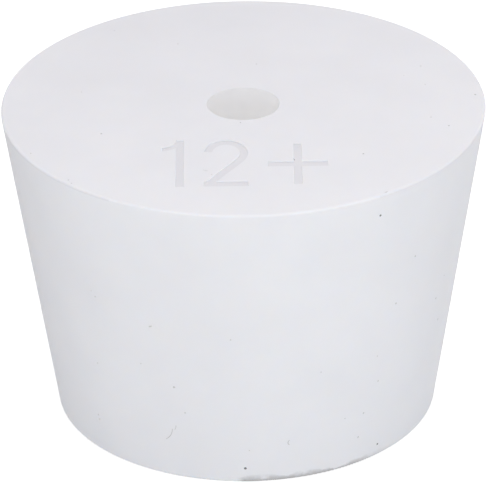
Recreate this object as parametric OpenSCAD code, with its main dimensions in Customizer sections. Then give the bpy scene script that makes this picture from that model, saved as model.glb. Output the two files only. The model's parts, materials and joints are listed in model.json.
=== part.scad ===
// Tapered rubber stopper with one through hole.
// Frame: +Z runs along the hole from the small end to the wide end, and the
// origin is the centre of the small flat end. All sizes are in millimetres.

/* [Body] */
// Diameter of the wide end, at the sharp corner that its rim rounds off
wide_d = 63; // [57:0.5:80]
// Diameter of the small end, at the sharp corner that its foot rounds off
small_d = 50; // [30:0.5:56]
// Height from the small flat end to the wide flat end
height = 42.2; // [20:0.1:70]

/* [Hole] */
// Diameter of the hole that runs through along the axis
hole_d = 9.3; // [3:0.1:18]

/* [Rounds] */
// Radius round the rim of the wide end
rim_r = 0.3; // [0.2:0.1:3]
// Radius round the foot of the small end
foot_r = 0.3; // [0.2:0.1:3]
// Radius round each mouth of the hole
mouth_r = 0.3; // [0.1:0.1:2]

/* [Hidden] */
// Smoothness of the full turn, and flats along each round in the section
$fn = 180;
round_steps = 6;

// Lean of the tapered side away from the axis
taper = atan((wide_d - small_d) / 2 / height);

// Distance of the tapered side from the axis at the height z
function side_x(z) = small_d / 2 + z * tan(taper);

// Distance from the axis of the centre of a round of radius r that touches
// the tapered side, where that centre lies at the height z
function centre_x(z, r) = side_x(z) - r / cos(taper);

// Points of a round: an arc of radius r about [x, z] from angle a to angle b
function round_points(x, z, r, a, b) = [
    for (i = [0:round_steps])
        let (t = a + (b - a) * i / round_steps)
            [x + r * cos(t), z + r * sin(t)]
];

// Half section beside the axis, anticlockwise from the lower mouth of the
// hole: foot, tapered side, rim, upper mouth and straight wall of the hole
module half_section() {
    mouth_x = hole_d / 2 + mouth_r;
    rim_z = height - rim_r;
    polygon(concat(
        round_points(mouth_x, mouth_r, mouth_r, 180, 270),
        round_points(centre_x(foot_r, foot_r), foot_r, foot_r, -90, -taper),
        round_points(centre_x(rim_z, rim_r), rim_z, rim_r, -taper, 90),
        round_points(mouth_x, height - mouth_r, mouth_r, 90, 180)
    ));
}

// The stopper is moulded in one piece: one full turn of its half section
module stopper() {
    color([0.91, 0.91, 0.93]) rotate_extrude() half_section();
}

stopper();
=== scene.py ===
"""A white silicone stopper: a tapered plug with one hole down its axis, standing on its small end.

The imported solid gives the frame. One modelled piece takes its place, with the rounded rims, the size mark
sunk into the wide face, and the small pits and scratches that moulded silicone picks up in use.
Everything is in metres, with +Z along the hole and the origin at the centre of the small end.
"""

import json
import math

import bmesh
import bpy
from mathutils import Matrix, Vector


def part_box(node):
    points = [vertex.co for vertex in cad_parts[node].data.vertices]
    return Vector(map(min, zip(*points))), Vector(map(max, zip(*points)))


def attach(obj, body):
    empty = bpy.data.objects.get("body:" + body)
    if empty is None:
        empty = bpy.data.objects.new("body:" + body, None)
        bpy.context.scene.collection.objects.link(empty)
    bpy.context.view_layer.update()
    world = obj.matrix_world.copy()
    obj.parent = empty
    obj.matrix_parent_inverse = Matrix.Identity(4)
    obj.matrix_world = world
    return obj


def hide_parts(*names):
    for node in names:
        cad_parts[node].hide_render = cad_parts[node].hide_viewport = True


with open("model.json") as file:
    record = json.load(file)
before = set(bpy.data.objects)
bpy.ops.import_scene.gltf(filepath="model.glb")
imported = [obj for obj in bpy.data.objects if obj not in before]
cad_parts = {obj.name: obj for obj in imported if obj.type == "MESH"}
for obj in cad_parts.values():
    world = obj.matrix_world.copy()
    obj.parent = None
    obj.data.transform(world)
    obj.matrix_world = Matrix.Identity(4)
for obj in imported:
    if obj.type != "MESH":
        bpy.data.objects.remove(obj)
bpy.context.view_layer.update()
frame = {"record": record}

MM = 0.001

# --- the stopper's own sizes ---------------------------------------------------------------------------
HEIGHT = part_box("stopper")[1][2]
HOLE = next(m for m in frame["record"]["mounts"] if m["name"] == "hole")
HOLE_R = HOLE["dims"]["r_mm"] * MM
WIDE_R = 31.5 * MM                  # sharp corner of the wide end, before its rim is rounded
SMALL_R = 25.0 * MM                 # sharp corner of the small end, before its foot is rounded
LEAN = math.atan((WIDE_R - SMALL_R) / HEIGHT)
RIM_ROUND = 0.3 * MM
FOOT_ROUND = 0.3 * MM
MOUTH_ROUND = 0.15 * MM

TURN_STEPS = 256                    # facets round the axis
ROUND_STEPS = 5                     # facets across a round
WALL_CUTS = 13                      # rings along the tapered side and down the hole
QUAD = 4                            # corners of a facet of the side, where a flat end has more
ARC = 0.5                           # the profile that makes a bevel round
NEAR = 0.01 * MM                    # how close a point lies to count as on a circle or at a height
LEVEL = 0.999                       # a face is level where the upright part of its normal is more than this
WALL = 0.5                          # and a wall where it is less than this
SMOOTH_ANGLE = math.radians(35)     # edges that turn by more than this stay crisp
NORMAL_WEIGHT = 60                  # how strongly large faces set the shading at their corners

# --- the size mark, in front of the hole ---------------------------------------------------------------
# Its figures are drawn up from a baseline at y = 0, and then stretched along Y and moved into place.
MARK_DEPTH = 0.19 * MM
MARK_BASELINE = -23.25 * MM         # where that line comes to lie on the wide face
MARK_STRETCH = 1.34
FIGURE_H = 12.9 * MM / MARK_STRETCH
STROKE = 1.0 * MM                   # width of a stroke
ONE_X = -8.17 * MM                  # middle of the stem of the 1
FLAG_STROKE = 0.72 * MM
FLAG_R = 2.5 * MM
FLAG_SET = (1.9 * MM, 0.65 * MM)    # how far the flag's centre is left of the stem and above its top
FLAG_START = math.radians(-88)
FLAG_TURN = math.radians(68)
TWO_X = -2.3 * MM                   # middle of the 2
TWO_W = 5.6 * MM
BOWL_START = math.radians(172)
PLUS_X = 6.85 * MM                  # middle of the plus sign
PLUS_Y = 4.5 * MM
PLUS_W = 7.6 * MM
PLUS_H = 8.4 * MM
BEND_STEP = math.radians(7)         # turn of one facet of a bent stroke
WELD_ANGLE = math.radians(0.5)      # faces that turn by less become one
ABOVE = 1.0 * MM                    # how far the cutter stands out of the face that it cuts
FLOOR_ROUND = 0.07 * MM
FLOOR_STEPS = 3
LIP_ROUND = 0.11 * MM
LIP_STEPS = 2

# --- wear ----------------------------------------------------------------------------------------------
# A place on the wide face is x and y in millimetres. One on the side is degrees from the front, to the
# right, and a height in millimetres. Widths and lengths are in millimetres too, bends and turns in radians.
FACE_PITS = (                       # place and width
    (-8.6, 18.1, 0.25), (1.8, 11.7, 0.25), (23.4, 10.5, 0.3), (21.1, 7.7, 0.15), (23.8, 5.0, 0.2),
    (30.2, 1.8, 0.35), (-21.1, 4.0, 0.2), (-18.3, -8.2, 0.3), (26.4, -7.1, 0.3), (24.2, -4.6, 0.25),
    (15.2, -14.8, 0.3), (-27.2, -13.5, 0.25), (-22.2, -21.1, 0.25), (-21.8, -22.0, 0.25),
    (-17.1, 22.4, 0.2), (-0.4, -5.5, 0.25), (-4.1, -20.0, 0.2),
)
SIDE_PITS = (                       # the same
    (47, 30.2, 0.3), (-42.7, 26.4, 0.2), (-41.6, 25.7, 0.25), (-4, 22.9, 0.2), (42, 24, 0.3),
    (61, 20.5, 0.3), (65.3, 16.2, 0.35), (64.2, 23.2, 0.2), (-44.9, 14.7, 0.25), (-29.3, 17.2, 0.2),
    (-20, 14.5, 0.35), (-17.4, 10.6, 0.25), (-48.4, 5.8, 0.3), (-48.2, 5.1, 0.35), (39, 12.4, 0.25),
    (37.6, 16.6, 0.2), (20.2, 16.6, 0.2), (35, 8, 0.3), (28.7, 8.1, 0.2), (34, 4.3, 0.3), (0.5, 5.1, 0.2),
)
GRIMY_SIDE_PITS = ((33.4, 39.1, 0.34), (42, 1.8, 0.32), (-0.7, 2.2, 0.42))
GRIMY_MARK_PIT = (6.35, -15.9, 0.3)                     # on the floor of the mark
SIDE_NICK = (-25.2, 23.6, 0.22, 2.8, 0.45)              # place, width, length over width, and turn
FACE_NICK = (17.8, -25.5, 0.2, 3.0, 0.6)
FACE_SCRATCH = (-4.9, -18.9, 0.7, 0.1, 0.5, 1.13)       # place, length, width, bend and turn
SIDE_SCRATCHES = (
    (-22.3, 6.6, 2.2, 0.13, 0.9, -0.5),
    (-20.6, 7.9, 0.8, 0.11, 0.5, -0.3),
    (11.6, 6.0, 0.9, 0.13, 2.0, 3.1),
)
PIT_LIFT = 0.15                     # height of the middle of a pit's ball above the surface, over its width
PIT_FLATNESS = 0.8                  # height of the ball itself, over its width
SCRATCH_LIFT = 0.2                  # height of the middle of a scratch's rod, over its width
SCRATCH_SIDES = 8
SCRATCH_STEPS = 12

# --- finishes ------------------------------------------------------------------------------------------
SKINS = ("silicone", "grime", "dust")       # in the order of the material slots
SILICONE_IOR = 1.41
SILICONE_SPECULAR = 0.3
SCATTER_BY_COLOUR = (1.0, 0.9, 0.8)         # shares of the scatter that red, green and blue light go
SKIN_SCATTER = 0.15 * MM
BORE_SCATTER = 120 * MM                     # far, because the wall of the hole is lit through the rubber
GLOSS = (0.56, 0.66)                        # roughness, at the least and at the most
GRAIN_STRENGTH = 0.15
GRAIN_HEIGHT = 0.02 * MM

# Tones are linear colours. A painted shade or painted shadow states what it keeps of the tone beneath.
# The skin runs from the dull tone to the pale one partly in random clouds and partly as painted light, a
# slow change across the plug.
PALE_SKIN = (0.9035, 0.9085, 0.944, 1)
DULL_SKIN = (0.7495, 0.7545, 0.784, 1)
PAINTED_LIGHT_SIDE = math.radians(20)                # where painted light makes the skin palest, round from the front, to the right
CLOUD_SHARE = 0.4                           # how much of its tone is cloudy, and not a slow change across that is painted light
BORE_PAINTED_LIGHT = (0.93, 0.926, 0.932, 1)         # the wall of the hole, paler as painted light for the light that comes through the rubber
MOUTH_TONE = (0.785, 0.785, 0.80, 1)        # the same wall at a mouth
MOUTH_DEPTH = 3.5 * MM                      # how far in from a mouth the wall reaches that paler painted light
MARK_PAINTED_SHADE = (0.942, 0.937, 0.937, 1)        # painted shade on the floor of the mark, darker as a recess is shaded
MARK_SHADE_TOP = 0.1 * MARK_DEPTH            # the depth below the wide face where that painted shade starts
MARK_SHADE_END = 2 * MARK_DEPTH              # and the one past which a point isn't in the mark
FOOT_PAINTED_SHADOW = (0.56, 0.55, 0.53, 1)           # a painted shadow along the front of the foot, where it meets the floor
FOOT_SHADOW_LEFT = (-1.5 * MM, -0.5 * MM)     # where along X that line fades in, from nothing to full
FOOT_SHADOW_RIGHT = (19.5 * MM, 13 * MM)      # and the same at its other end
FOOT_SHADOW_REACH = (0.35 * MM, 1.2 * MM)     # how high the painted shadow reaches, at the least and at the most
FOOT_SHADOW_FULL = 0.1 * MM                   # the height below which it is full
FOOT_SHADOW_PATCH = (0.35, 0.65)              # the noise at which it reaches least and most

# Each noise is its scale and its detail.
CLOUD_NOISE = (90, 3)
GRAIN_NOISE = (2200, 2)
PATCH_NOISE = (600, 3)

DIRT_ROUGHNESS = 0.8
DIRTS = {                                   # noise, darkest tone and palest tone
    "grime": ((400, 2), (0.10, 0.10, 0.11, 1), (0.40, 0.39, 0.38, 1)),
    "dust": ((900, 2), (0.52, 0.52, 0.53, 1), (0.74, 0.74, 0.75, 1)),
}

# --- the set -------------------------------------------------------------------------------------------
CAMERA_ELEVATION = 0.4865                   # in radians, as the roll is
CAMERA_DISTANCE = 21.9 * WIDE_R
CAMERA_ROLL = -0.0124
CAMERA_AIM = Vector((-0.004 * WIDE_R, 0, 0.699 * WIDE_R))
CLIP_START = 0.01
IMAGE_W = 488
FOCAL_PIXELS = 5240                         # focal length, in pixels of that width
SENSOR_W = 36

FLOOR_SIZE = 6
FLOOR_COLOUR = (0.6, 0.6, 0.6, 1)
FLOOR_GLOW = 0.66                           # brings the pale floor up to white where it is seen directly
WHITE = (1, 1, 1, 1)
ROOM_COLOUR = (0.974, 0.972, 1.0, 1)        # the soft light from all round
ROOM_STRENGTH = 0.643
LAMP_AIM = Vector((0, 0, 0.02))
LAMP_DISTANCE = 0.5
SOFTBOXES = (                               # name, degrees round from the front and up, size, watts, colour
    ("main_lamp", -15, 12, (0.45, 0.2), 0.878, (0.985, 1.0, 0.984)),
    ("side_lamp", 75, 12, (0.45, 0.2), 0.498, (0.95, 0.986, 1.0)),
    ("back_lamp", 180, 55, (0.5, 0.5), 0.817, (1.0, 0.94, 0.918)),
)


# --- modelling helpers ---------------------------------------------------------------------------------
def start_clean():
    """Leaves edit mode and deselects everything, so that the next operator acts on its own piece alone."""
    if bpy.context.object and bpy.context.object.mode != "OBJECT":
        bpy.ops.object.mode_set(mode="OBJECT")
    bpy.ops.object.select_all(action="DESELECT")


def activate(piece):
    """Selects one piece alone and makes it the active one."""
    start_clean()
    piece.select_set(True)
    bpy.context.view_layer.objects.active = piece


def settle_as(piece, name):
    """Names a piece and moves its place, turn and size into its mesh."""
    piece.name = piece.data.name = name
    activate(piece)
    bpy.ops.object.transform_apply(location=True, rotation=True, scale=True)
    return piece


def settle(name):
    """The same for the primitive that was just added."""
    return settle_as(bpy.context.object, name)


def edit(piece):
    """Opens a piece in edit mode with nothing selected."""
    activate(piece)
    bpy.ops.object.mode_set(mode="EDIT")
    bpy.ops.mesh.select_all(action="DESELECT")


def pick(piece, kind, test):
    """In edit mode, selects just the vertices, edges or faces that pass a test."""
    bpy.ops.mesh.select_all(action="DESELECT")
    bpy.ops.mesh.select_mode(type=kind)
    mesh = bmesh.from_edit_mesh(piece.data)
    parts = {"VERT": mesh.verts, "EDGE": mesh.edges, "FACE": mesh.faces}[kind]
    for part in [p for p in parts if test(p)]:
        part.select_set(True)
    mesh.select_flush_mode()
    bmesh.update_edit_mesh(piece.data)


def face_outwards():
    """In edit mode, turns all faces outwards."""
    bpy.ops.mesh.select_all(action="SELECT")
    bpy.ops.mesh.normals_make_consistent(inside=False)


def round_edges(size, steps):
    """In edit mode, rounds the edges that are picked."""
    bpy.ops.mesh.bevel(offset=size, segments=steps, profile=ARC, affect="EDGES")


def apply_modifier(piece, kind, **settings):
    """Adds a modifier, sets it up and applies it."""
    activate(piece)
    modifier = piece.modifiers.new(kind.title(), kind)
    for key, value in settings.items():
        setattr(modifier, key, value)
    bpy.ops.object.modifier_apply(modifier=modifier.name)


def join(pieces, name):
    """Joins pieces into one."""
    start_clean()
    for piece in pieces:
        piece.select_set(True)
    bpy.context.view_layer.objects.active = pieces[0]
    bpy.ops.object.join()
    pieces[0].name = pieces[0].data.name = name
    return pieces[0]


def cut_away(piece, cutter, overlapping=False):
    """Cuts a cutter's shape out of a piece and deletes the cutter.

    Each cut face keeps the cutter's material slot. overlapping says that the cutter's own parts overlap.
    """
    apply_modifier(
        piece,
        "BOOLEAN",
        operation="DIFFERENCE",
        solver="EXACT",
        use_self=overlapping,
        material_mode="INDEX",
        object=cutter,
    )
    bpy.data.objects.remove(cutter)


# --- the moulded body ----------------------------------------------------------------------------------
def distance_from_axis(vertex):
    """How far a vertex lies from the axis of the hole."""
    return math.hypot(vertex.co.x, vertex.co.y)


def at_height(edge, z):
    """True if both ends of an edge lie at that height."""
    return all(abs(v.co.z - z) < NEAR for v in edge.verts)


def on_circle(edge, radius, z):
    """True if both ends of an edge lie on the circle of that radius about the axis, at that height."""
    return at_height(edge, z) and all(abs(distance_from_axis(v) - radius) < NEAR for v in edge.verts)


def round_circle(piece, radius, at_r, at_z, corner):
    """Rounds a circle of edges to a radius. corner is the angle of solid between the two faces there."""
    pick(piece, "EDGE", lambda e: on_circle(e, at_r, at_z))
    round_edges(radius / math.tan(corner / 2), ROUND_STEPS)


def mould_body():
    """The plug: a cone frustum with a hole bridged through it and its four circles of edges rounded."""
    start_clean()
    bpy.ops.mesh.primitive_cone_add(
        vertices=TURN_STEPS, radius1=SMALL_R, radius2=WIDE_R, depth=HEIGHT, location=(0, 0, HEIGHT / 2)
    )
    body = settle("stopper_body")
    edit(body)
    flat_share = math.cos(math.pi / TURN_STEPS)     # an inset is measured to facets and not to corners
    for z, radius in ((HEIGHT, WIDE_R), (0, SMALL_R)):
        pick(body, "FACE", lambda f: len(f.verts) > QUAD and abs(f.calc_center_median().z - z) < NEAR)
        bpy.ops.mesh.inset(thickness=(radius - HOLE_R) * flat_share)
    pick(body, "FACE", lambda f: len(f.verts) > QUAD)
    bpy.ops.mesh.bridge_edge_loops()
    round_circle(body, RIM_ROUND, WIDE_R, HEIGHT, math.pi / 2 - LEAN)
    round_circle(body, FOOT_ROUND, SMALL_R, 0, math.pi / 2 + LEAN)
    round_circle(body, MOUTH_ROUND, HOLE_R, HEIGHT, math.pi / 2)
    round_circle(body, MOUTH_ROUND, HOLE_R, 0, math.pi / 2)
    pick(body, "EDGE", lambda e: abs(e.verts[0].co.z - e.verts[1].co.z) > HEIGHT / 2)
    bpy.ops.mesh.subdivide(number_cuts=WALL_CUTS)
    # The front of each flat end becomes one face, so that no edge crosses the mark when that is cut.
    pick(body, "FACE", lambda f: abs(f.normal.z) > LEVEL and f.calc_center_median().y < HOLE_R)
    bpy.ops.mesh.dissolve_limited()
    return body


# --- the size mark -------------------------------------------------------------------------------------
def straight_stroke(start, end):
    """A bar along a line of the mark, from the floor of the recess to above the face."""
    along = Vector(end) - Vector(start)
    start_clean()
    bpy.ops.mesh.primitive_cube_add(
        size=1,
        location=(*((Vector(start) + Vector(end)) / 2), (ABOVE - MARK_DEPTH) / 2),
        rotation=(0, 0, math.atan2(along.y, along.x)),
        scale=(along.length, STROKE, ABOVE + MARK_DEPTH),
    )
    return settle("stroke")


def bent_stroke(centre, radius, start, turn, width, run_on=(0, 0)):
    """A stroke bent round a centre: an upright end face, spun from the angle start through the angle turn.

    run_on carries the far end on in a straight line.
    """
    start_clean()
    bpy.ops.mesh.primitive_plane_add(size=1, rotation=(math.pi / 2, 0, 0))
    stroke = settle("stroke")
    stroke.scale = (width, 1, ABOVE + MARK_DEPTH)
    stroke.location = (radius, 0, (ABOVE - MARK_DEPTH) / 2)
    settle_as(stroke, "stroke")
    stroke.rotation_euler.z = start
    stroke.location = (*centre, 0)
    settle_as(stroke, "stroke")
    edit(stroke)
    bpy.ops.mesh.select_all(action="SELECT")
    steps = math.ceil(abs(turn) / BEND_STEP)
    bpy.ops.mesh.spin(steps=steps, angle=-turn, center=(*centre, 0), axis=(0, 0, 1))
    if run_on != (0, 0):
        bpy.ops.mesh.extrude_region_move(TRANSFORM_OT_translate={"value": (*run_on, 0)})
    face_outwards()
    return stroke


def weld(strokes):
    """Makes one solid of strokes that overlap, with a clean floor."""
    figure, *others = strokes
    for other in others:
        apply_modifier(figure, "BOOLEAN", operation="UNION", solver="EXACT", object=other)
        bpy.data.objects.remove(other)
    edit(figure)
    bpy.ops.mesh.select_all(action="SELECT")
    bpy.ops.mesh.dissolve_limited(angle_limit=WELD_ANGLE)
    return figure


def figure_one():
    """An upright stem with a short bent flag at its top left."""
    stem = straight_stroke((ONE_X, 0), (ONE_X, FIGURE_H))
    flag_centre = (ONE_X - STROKE / 2 - FLAG_SET[0], FIGURE_H + FLAG_SET[1])
    flag = bent_stroke(flag_centre, FLAG_R, FLAG_START, FLAG_TURN, FLAG_STROKE)
    return weld([stem, flag])


def figure_two():
    """A bowl that runs straight on, as its own tangent, down to the left end of a base bar."""
    bowl_r = (TWO_W - STROKE) / 2
    bowl_centre = Vector((TWO_X, FIGURE_H - STROKE / 2 - bowl_r))
    corner = Vector((TWO_X - bowl_r, STROKE / 2))
    to_corner = corner - bowl_centre
    bowl_end = 2 * math.atan2(to_corner.y, to_corner.x) + math.pi
    touch = bowl_centre + bowl_r * Vector((math.cos(bowl_end), math.sin(bowl_end)))
    run_on = tuple(corner - touch)
    bowl = bent_stroke(bowl_centre, bowl_r, BOWL_START, bowl_end - BOWL_START, STROKE, run_on)
    base = straight_stroke((TWO_X - TWO_W / 2, STROKE / 2), (TWO_X + TWO_W / 2, STROKE / 2))
    return weld([bowl, base])


def plus_sign():
    """Two bars that cross at their middles."""
    across = straight_stroke((PLUS_X - PLUS_W / 2, PLUS_Y), (PLUS_X + PLUS_W / 2, PLUS_Y))
    upright = straight_stroke((PLUS_X, PLUS_Y - PLUS_H / 2), (PLUS_X, PLUS_Y + PLUS_H / 2))
    return weld([across, upright])


def ends_wall(edge, z):
    """True if an upright wall starts or ends at an edge at that height."""
    return at_height(edge, z) and any(abs(face.normal.z) < WALL for face in edge.link_faces)


def sink_mark(body):
    """Sinks the size mark into the wide face, with a rounded floor and lip to its recess."""
    mark = join([figure_one(), figure_two(), plus_sign()], "mark_cutter")
    edit(mark)
    pick(mark, "EDGE", lambda e: ends_wall(e, -MARK_DEPTH))
    round_edges(FLOOR_ROUND, FLOOR_STEPS)
    start_clean()
    mark.scale.y = MARK_STRETCH
    mark.location = (0, MARK_BASELINE, HEIGHT)
    settle_as(mark, "mark_cutter")
    cut_away(body, mark)
    edit(body)
    pick(body, "EDGE", lambda e: ends_wall(e, HEIGHT))
    round_edges(LIP_ROUND, LIP_STEPS)


# --- pits, nicks and scratches -------------------------------------------------------------------------
def on_side(azimuth, z):
    """Place and turn of a spot on the tapered side."""
    round_axis = Matrix.Rotation(math.radians(azimuth), 4, "Z")
    z *= MM
    out = Matrix.Translation((0, -(SMALL_R + z * math.tan(LEAN)), z))
    return round_axis @ out @ Matrix.Rotation(math.pi / 2 + LEAN, 4, "X")


def on_face(x, y, sunk=0):
    """Place of a spot on the wide face, or on the floor of what is sunk into it."""
    return Matrix.Translation((x * MM, y * MM, HEIGHT - sunk))


def with_skin(cutter, skin):
    """Gives all of a cutter's faces one of the skins, which they leave on what they cut."""
    for name in SKINS:
        cutter.data.materials.append(bpy.data.materials[name])
    for face in cutter.data.polygons:
        face.material_index = SKINS.index(skin)
    return cutter


def pit(spot, skin, width, long=1.0, turn=0.0):
    """A shallow round or long hollow: a ball whose lower cap lies under the surface."""
    width *= MM
    start_clean()
    bpy.ops.mesh.primitive_ico_sphere_add(subdivisions=2, radius=width / 2)
    ball = settle("pit")
    lift = Matrix.Translation((0, 0, PIT_LIFT * width))
    shape = Matrix.Diagonal((long, 1, PIT_FLATNESS, 1))
    ball.matrix_world = spot @ Matrix.Rotation(turn, 4, "Z") @ lift @ shape
    return with_skin(settle_as(ball, "pit"), skin)


def scratch(spot, skin, length, width, bend, turn):
    """A hairline groove that follows an arc, which turns through the angle bend over its length."""
    width *= MM
    radius = length * MM / bend
    start_clean()
    bpy.ops.mesh.primitive_circle_add(
        vertices=SCRATCH_SIDES,
        radius=width / 2,
        fill_type="NGON",
        location=(radius, 0, 0),
        rotation=(math.pi / 2, 0, 0),
    )
    rod = settle("scratch")
    edit(rod)
    bpy.ops.mesh.select_all(action="SELECT")
    bpy.ops.mesh.spin(steps=SCRATCH_STEPS, angle=-bend, center=(0, 0, 0), axis=(0, 0, 1))
    face_outwards()
    start_clean()
    centred = Matrix.Translation((-radius, 0, SCRATCH_LIFT * width)) @ Matrix.Rotation(-bend / 2, 4, "Z")
    rod.matrix_world = spot @ Matrix.Rotation(turn, 4, "Z") @ centred
    return with_skin(settle_as(rod, "scratch"), skin)


def wear(body):
    """Cuts the pits, nicks and scratches. A few pits hold grime, and the rest a film of dust."""
    marks = [pit(on_face(x, y), "dust", width) for x, y, width in FACE_PITS]
    marks += [pit(on_side(azimuth, z), "dust", width) for azimuth, z, width in SIDE_PITS]
    marks += [pit(on_side(azimuth, z), "grime", width) for azimuth, z, width in GRIMY_SIDE_PITS]
    x, y, width = GRIMY_MARK_PIT
    marks.append(pit(on_face(x, y, MARK_DEPTH), "grime", width))
    marks.append(pit(on_side(*SIDE_NICK[:2]), "dust", *SIDE_NICK[2:]))
    marks.append(pit(on_face(*FACE_NICK[:2]), "dust", *FACE_NICK[2:]))
    marks.append(scratch(on_face(*FACE_SCRATCH[:2]), "dust", *FACE_SCRATCH[2:]))
    marks += [scratch(on_side(*groove[:2]), "dust", *groove[2:]) for groove in SIDE_SCRATCHES]
    cut_away(body, join(marks, "wear_cutter"), overlapping=True)


# --- shader nodes --------------------------------------------------------------------------------------
def new_material(name):
    """A node material's tree and its Principled shader."""
    material = bpy.data.materials.new(name)
    material.use_nodes = True
    return material.node_tree, material.node_tree.nodes["Principled BSDF"]


def feed(tree, node, inputs):
    """Gives each named input of a node a plain value, or a link from another node's output."""
    for key, value in inputs.items():
        if isinstance(value, bpy.types.NodeSocket):
            tree.links.new(value, node.inputs[key])
        else:
            node.inputs[key].default_value = value


def add_node(tree, kind, inputs, **settings):
    """Adds a node, sets it up and feeds its inputs."""
    node = tree.nodes.new("ShaderNode" + kind)
    for key, value in settings.items():
        setattr(node, key, value)
    feed(tree, node, inputs)
    return node


def object_place(tree):
    """The coordinates of a point of the piece."""
    return add_node(tree, "TexCoord", {}).outputs["Object"]


def along_axis(tree, place, axis):
    """One of a place's three coordinates."""
    return add_node(tree, "SeparateXYZ", {"Vector": place}).outputs[axis]


def reckon(tree, operation, *values):
    """One step of arithmetic."""
    return add_node(tree, "Math", dict(enumerate(values)), operation=operation).outputs["Value"]


def all_of(tree, mask, *others):
    """The product of masks: 1 where all of them are 1."""
    for other in others:
        mask = reckon(tree, "MULTIPLY", mask, other)
    return mask


def ramp(tree, value, start, end, out=(0, 1), eased=False):
    """Turns the range from start to end into the range out, held level past both ends."""
    ends = {"From Min": start, "From Max": end, "To Min": out[0], "To Max": out[1]}
    interpolation = "SMOOTHSTEP" if eased else "LINEAR"
    node = add_node(tree, "MapRange", {"Value": value, **ends}, interpolation_type=interpolation)
    return node.outputs["Result"]


def noise(tree, place, scale, detail):
    """Noise from 0 to 1, about one half."""
    return add_node(tree, "TexNoise", {"Vector": place, "Scale": scale, "Detail": detail}).outputs["Fac"]


def between(tree, share, tone, other_tone):
    """A tone that goes from one to the other as the share goes from 0 to 1."""
    inputs = {"Factor": share, "A": tone, "B": other_tone}
    return add_node(tree, "Mix", inputs, data_type="RGBA").outputs["Result"]


def stain(tree, tone, keeps, mask):
    """Darkens a tone to a share of itself where a mask is 1."""
    inputs = {"Factor": mask, "A": tone, "B": keeps}
    return add_node(tree, "Mix", inputs, data_type="RGBA", blend_type="MULTIPLY").outputs["Result"]


# --- making the finishes -------------------------------------------------------------------------------
def part_of_skin(tree, place):
    """0 on the wall of the hole and 1 on the outer skin, changing over the round of a mouth."""
    flat = add_node(tree, "VectorMath", {0: place, 1: (1, 1, 0)}, operation="MULTIPLY")
    from_axis = add_node(tree, "VectorMath", {0: flat.outputs["Vector"]}, operation="LENGTH")
    return ramp(tree, from_axis.outputs["Value"], HOLE_R, HOLE_R + MOUTH_ROUND, eased=True)


def painted_light_and_clouds(tree, place, clouds):
    """0 to 1 across the plug towards its pale side: a slow painted light, broken up by the clouds."""
    pale_way = (math.sin(PAINTED_LIGHT_SIDE), -math.cos(PAINTED_LIGHT_SIDE), 0)
    across = add_node(tree, "VectorMath", {0: place, 1: pale_way}, operation="DOT_PRODUCT")
    slow = ramp(tree, across.outputs["Value"], -WIDE_R, WIDE_R)
    return add_node(tree, "Mix", {"Factor": CLOUD_SHARE, "A": slow, "B": clouds}).outputs["Result"]


def painted_shade_in_mark(tree, place):
    """0 on the wide face and up to 1 on the floor of the mark that is sunk into it, where painted shade
    darkens the tone.
    """
    height = along_axis(tree, place, "Z")
    sunk = ramp(tree, height, HEIGHT - MARK_SHADE_TOP, HEIGHT - MARK_DEPTH, eased=True)
    shallow = reckon(tree, "GREATER_THAN", height, HEIGHT - MARK_SHADE_END)
    middle = MARK_BASELINE + FIGURE_H * MARK_STRETCH / 2
    in_front = reckon(tree, "COMPARE", along_axis(tree, place, "Y"), middle, FIGURE_H)
    return all_of(tree, sunk, shallow, in_front)


def painted_shadow_at_foot(tree, place):
    """0 to 1 towards the floor, along the front of the foot: a painted shadow that reaches up the side in
    patches.
    """
    patches = noise(tree, place, *PATCH_NOISE)
    shadow_reach = ramp(tree, patches, *FOOT_SHADOW_PATCH, out=FOOT_SHADOW_REACH)
    low = ramp(tree, along_axis(tree, place, "Z"), shadow_reach, FOOT_SHADOW_FULL)
    sideways = along_axis(tree, place, "X")
    left = ramp(tree, sideways, *FOOT_SHADOW_LEFT)
    right = ramp(tree, sideways, *FOOT_SHADOW_RIGHT)
    in_front = reckon(tree, "LESS_THAN", along_axis(tree, place, "Y"), 0)
    return all_of(tree, low, left, right, in_front)


def painted_bore_light(tree, place):
    """The tone of the hole's wall by height: paler painted light deep in the hole, greyer towards both
    mouths.
    """
    from_middle = reckon(tree, "SUBTRACT", along_axis(tree, place, "Z"), HEIGHT / 2)
    either_way = reckon(tree, "ABSOLUTE", from_middle)
    at_mouth = ramp(tree, either_way, HEIGHT / 2 - MOUTH_DEPTH, HEIGHT / 2)
    return between(tree, at_mouth, BORE_PAINTED_LIGHT, MOUTH_TONE)


def make_silicone():
    """Cloudy, finely grained silicone with a slow painted light across it, painted shade in the mark, a
    painted shadow along the foot, and a clearer hole whose wall is paler with painted light.
    """
    tree, shader = new_material("silicone")
    place = object_place(tree)
    clouds = noise(tree, place, *CLOUD_NOISE)
    clean = between(tree, painted_light_and_clouds(tree, place, clouds), DULL_SKIN, PALE_SKIN)
    mark_shaded = stain(tree, clean, MARK_PAINTED_SHADE, painted_shade_in_mark(tree, place))
    foot_shadowed = stain(tree, mark_shaded, FOOT_PAINTED_SHADOW, painted_shadow_at_foot(tree, place))
    skin = part_of_skin(tree, place)
    grain = noise(tree, place, *GRAIN_NOISE)
    bump = add_node(tree, "Bump", {"Strength": GRAIN_STRENGTH, "Distance": GRAIN_HEIGHT, "Height": grain})
    feed(tree, shader, {
        "Base Color": between(tree, skin, painted_bore_light(tree, place), foot_shadowed),
        "Roughness": ramp(tree, clouds, 0, 1, out=GLOSS),
        "IOR": SILICONE_IOR,
        "Specular IOR Level": SILICONE_SPECULAR,
        "Subsurface Weight": 1.0,
        "Subsurface Radius": SCATTER_BY_COLOUR,
        "Subsurface Scale": ramp(tree, skin, 0, 1, out=(BORE_SCATTER, SKIN_SCATTER)),
        "Normal": bump.outputs["Normal"],
    })


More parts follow.
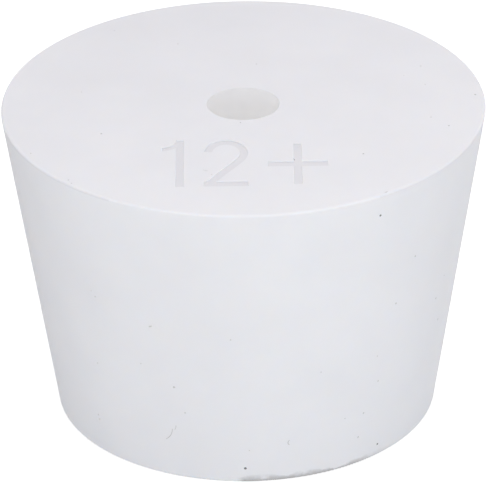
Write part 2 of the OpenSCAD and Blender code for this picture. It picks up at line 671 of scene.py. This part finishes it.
def make_dirt(name, speckle_noise, darkest, palest):
    """A dull dirt, speckled between two tones."""
    tree, shader = new_material(name)
    speckles = noise(tree, object_place(tree), *speckle_noise)
    tone = between(tree, speckles, darkest, palest)
    feed(tree, shader, {"Base Color": tone, "Roughness": DIRT_ROUGHNESS})


# --- making the set ------------------------------------------------------------------------------------
def seen_directly(tree):
    """1 for what the camera, a gloss or a clear surface sees, and 0 for light that is scattered."""
    path = add_node(tree, "LightPath", {})
    seen = path.outputs["Is Camera Ray"]
    for ray in ("Is Glossy Ray", "Is Transmission Ray"):
        seen = reckon(tree, "MAXIMUM", seen, path.outputs[ray])
    return seen


def by_sight(tree, scattered, direct):
    """One shader for light that is scattered and another for what is seen directly."""
    mix = add_node(tree, "MixShader", {"Fac": seen_directly(tree), 1: scattered, 2: direct})
    return mix.outputs["Shader"]


def set_world():
    """Soft light from all round, with plain white where it is seen directly."""
    world = bpy.data.worlds.new("studio")
    bpy.context.scene.world = world
    world.use_nodes = True
    tree = world.node_tree
    tree.nodes.clear()
    soft = add_node(tree, "Background", {"Color": ROOM_COLOUR, "Strength": ROOM_STRENGTH}).outputs[0]
    white = add_node(tree, "Background", {"Color": WHITE, "Strength": 1.0}).outputs[0]
    add_node(tree, "OutputWorld", {"Surface": by_sight(tree, soft, white)})


def lay_floor():
    """A plain pale floor, which keeps the stopper's shadow."""
    start_clean()
    bpy.ops.mesh.primitive_plane_add(size=FLOOR_SIZE)
    floor = settle("floor")
    tree, _ = new_material("white_floor")
    tree.nodes.clear()
    plain = add_node(tree, "BsdfDiffuse", {"Color": FLOOR_COLOUR}).outputs[0]
    glow = add_node(tree, "Emission", {"Strength": FLOOR_GLOW}).outputs[0]
    lit = add_node(tree, "AddShader", {0: plain, 1: glow}).outputs[0]
    add_node(tree, "OutputMaterial", {"Surface": by_sight(tree, plain, lit)})
    floor.data.materials.append(bpy.data.materials["white_floor"])


def hang_softbox(name, azimuth, elevation, size, power, colour):
    """An area lamp that faces the stopper. azimuth is in degrees from the front, to the right."""
    lamp = bpy.data.lights.new(name, "AREA")
    lamp.shape = "RECTANGLE"
    lamp.size, lamp.size_y = size
    lamp.energy = power
    lamp.color = colour
    softbox = bpy.data.objects.new(name, lamp)
    bpy.context.collection.objects.link(softbox)
    tilt = Matrix.Rotation(math.radians(90 - elevation), 4, "X")
    turn = Matrix.Rotation(math.radians(azimuth), 4, "Z") @ tilt
    softbox.matrix_world = Matrix.Translation(LAMP_AIM) @ turn @ Matrix.Translation((0, 0, LAMP_DISTANCE))


def set_camera():
    """A long lens that looks down on the stopper from the front."""
    camera = bpy.data.objects.new("camera", bpy.data.cameras.new("camera"))
    bpy.context.collection.objects.link(camera)
    ahead = Vector((0, math.cos(CAMERA_ELEVATION), -math.sin(CAMERA_ELEVATION)))
    roll = Matrix.Rotation(CAMERA_ROLL, 4, "Z")
    turn = ahead.to_track_quat("-Z", "Y").to_matrix().to_4x4() @ roll
    camera.matrix_world = Matrix.Translation(CAMERA_AIM - CAMERA_DISTANCE * ahead) @ turn
    camera.data.sensor_width = SENSOR_W
    camera.data.lens = FOCAL_PIXELS * SENSOR_W / IMAGE_W
    camera.data.clip_start = CLIP_START
    bpy.context.scene.camera = camera


# --- the stopper ---------------------------------------------------------------------------------------
def make_stopper():
    """Moulds the plug, sinks its mark and wears it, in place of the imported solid."""
    body = mould_body()
    sink_mark(body)
    start_clean()
    for skin in SKINS:
        body.data.materials.append(bpy.data.materials[skin])
    wear(body)
    activate(body)
    bpy.ops.object.shade_smooth_by_angle(angle=SMOOTH_ANGLE)
    apply_modifier(body, "WEIGHTED_NORMAL", weight=NORMAL_WEIGHT, keep_sharp=True)
    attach(body, "root")
    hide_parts("stopper")


bpy.context.scene.view_settings.view_transform = "Standard"
make_silicone()
for dirt, finish in DIRTS.items():
    make_dirt(dirt, *finish)
make_stopper()
set_camera()
set_world()
lay_floor()
for softbox in SOFTBOXES:
    hang_softbox(*softbox)
